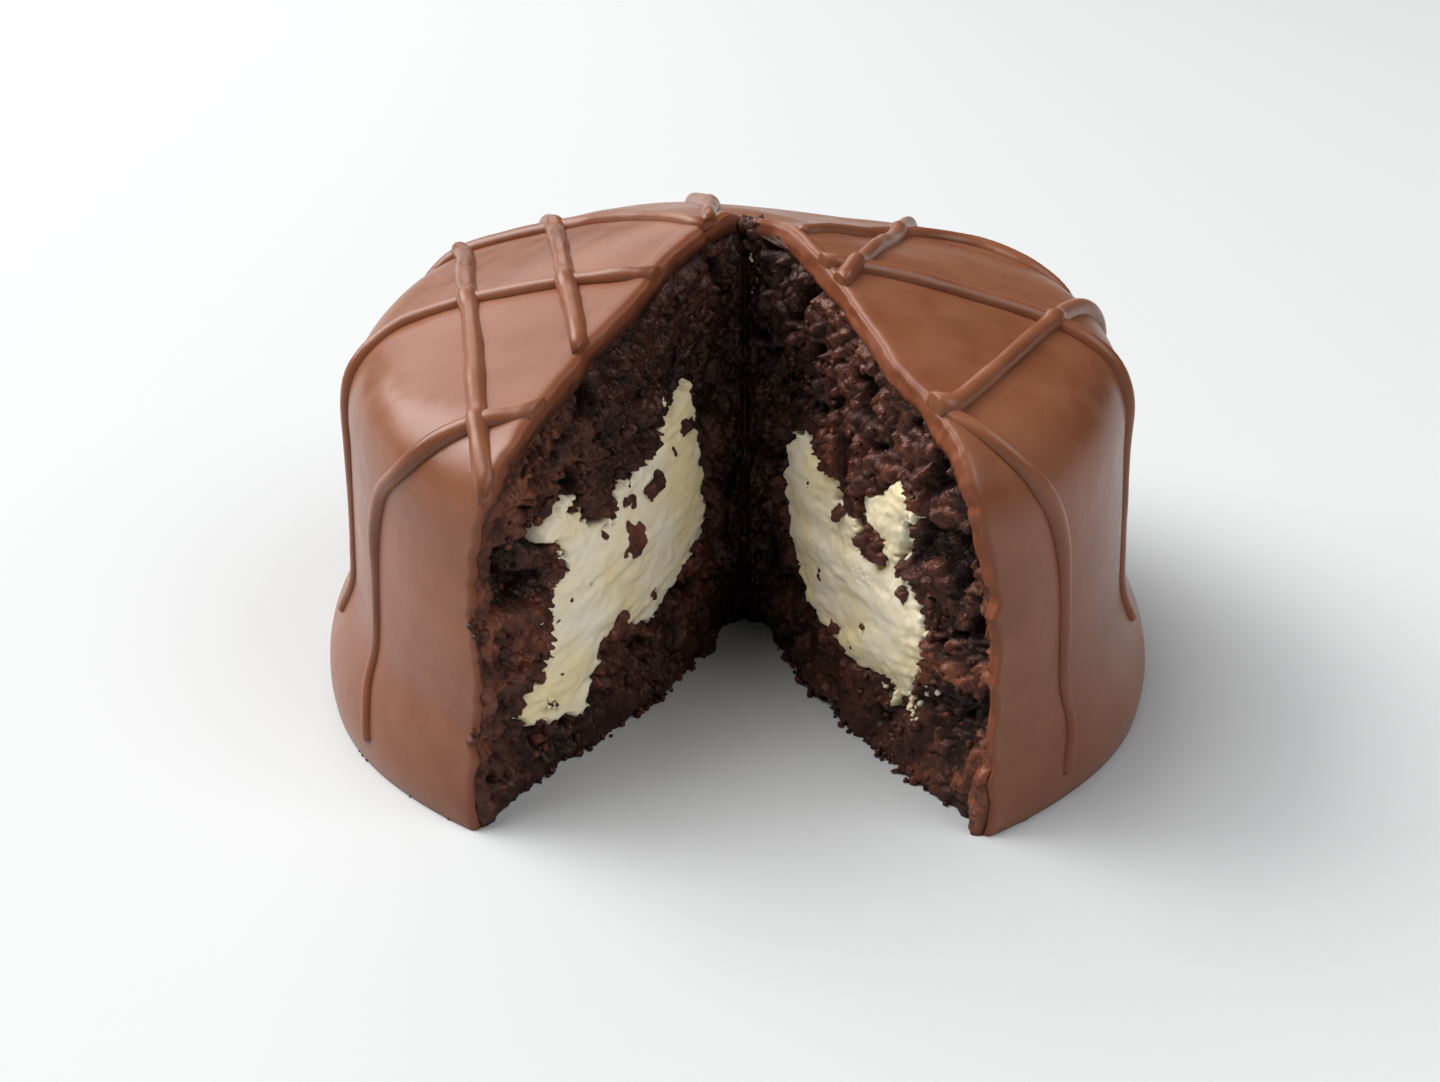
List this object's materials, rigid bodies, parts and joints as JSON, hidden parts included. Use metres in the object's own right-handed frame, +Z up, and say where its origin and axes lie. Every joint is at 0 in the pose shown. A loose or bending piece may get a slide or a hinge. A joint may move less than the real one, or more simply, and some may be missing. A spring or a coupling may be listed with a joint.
{
  "type": "filled chocolate cake",
  "caption": "Round single-serve chocolate cake with a wedge opened to its centre: milk chocolate coat with drizzled ridges, dark moist sponge, pale cream filling.",
  "frame": {"origin": "centre of the bounding box at its base, on the surface the cake stands on", "axes": "+Z up, -Y towards the opening that is cut out of the front, +X to the right seen from the front"},
  "size_m": [0.076, 0.0704, 0.0423],
  "materials": {
    "coat": "satin milk chocolate glaze",
    "sponge": "moist dark crumb",
    "cream": "soft matte cream"
  },
  "bodies": {
    "root": {"chocolate_coat": "coat", "sponge": "sponge", "cream_filling": "cream"}
  },
  "joints": []
}
